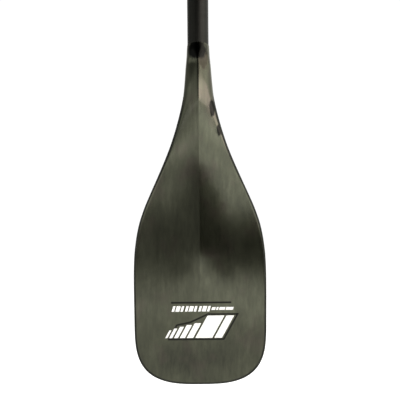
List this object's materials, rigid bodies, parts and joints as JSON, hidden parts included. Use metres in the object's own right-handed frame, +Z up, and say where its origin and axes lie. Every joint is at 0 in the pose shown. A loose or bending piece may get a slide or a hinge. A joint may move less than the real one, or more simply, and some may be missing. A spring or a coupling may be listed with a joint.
{
  "type": "kayak paddle",
  "caption": "Single-blade paddle: square-tipped carbon blade on a tapered round shaft, with a split cam-lever clamp and a telescoping T-grip handle.",
  "frame": {"origin": "on the shaft's axis at the top edge of the blade's neck", "axes": "+Z up the shaft towards the grip, blade hanging down; -Y is the power face; X across the blade, with the clamp's ears on +X"},
  "size_m": [0.164, 0.0831, 1.6807],
  "materials": {
    "blade_carbon": "clear-coated carbon laminate",
    "shaft_carbon": "satin carbon tube",
    "edge_resin": "satin tough resin",
    "foam": "closed-cell foam, hidden",
    "clear_film": "printed film",
    "nylon": "fine moulded grain",
    "rubber": "matte",
    "steel": "stainless",
    "brass": "turned",
    "acetal": "satin",
    "scale_print": "printed film"
  },
  "bodies": {
    "paddle_shaft": {"power_face_skin": "blade_carbon", "back_face_skin": "blade_carbon", "foam_core": "foam", "edge_rim": "edge_resin", "blade_sticker": "clear_film", "shaft_tube": "shaft_carbon", "shaft_end_plug": "foam", "clamp_collar": "nylon", "wiper_ring": "rubber", "cam_pad": "acetal", "screw_washer": "steel"},
    "clamp_screw": {"tension_screw": "steel"},
    "barrel": {"barrel_nut": "brass"},
    "lever": {"cam_lever": "nylon"},
    "guide": {"guide_ring": "acetal"},
    "handle": {"handle_tube": "shaft_carbon", "handle_end_cap": "nylon", "length_scale": "scale_print", "handle_top_plug": "foam", "grip_front_shell": "nylon", "grip_back_shell": "nylon", "grip_core": "foam"}
  },
  "joints": [
    {"name": "tension_screw_turn", "type": "hinge", "parent": "paddle_shaft", "child": "clamp_screw", "pos_m": [0.0235, 0, 1.136], "axis": [0, 1, 0], "range_deg": [0, 720]},
    {"name": "barrel_travel", "type": "slide", "parent": "paddle_shaft", "child": "barrel", "axis": [0, -1, 0], "range_m": [0, 0.0016]},
    {"name": "lever_swing", "type": "hinge", "parent": "barrel", "child": "lever", "pos_m": [0.0235, -0.019, 1.136], "axis": [0, 0, 1], "range_deg": [0, 125]},
    {"name": "handle_slide", "type": "slide", "parent": "paddle_shaft", "child": "guide", "axis": [0, 0, 1], "range_m": [0, 0.42]},
    {"name": "handle_twist", "type": "hinge", "parent": "guide", "child": "handle", "pos_m": [0, 0, 0.63], "axis": [0, 0, 1], "continuous": true}
  ],
  "couplings": [
    {"joint": "tension_screw_turn", "follows": "barrel_travel", "rad_per_m": 7853.9}
  ]
}
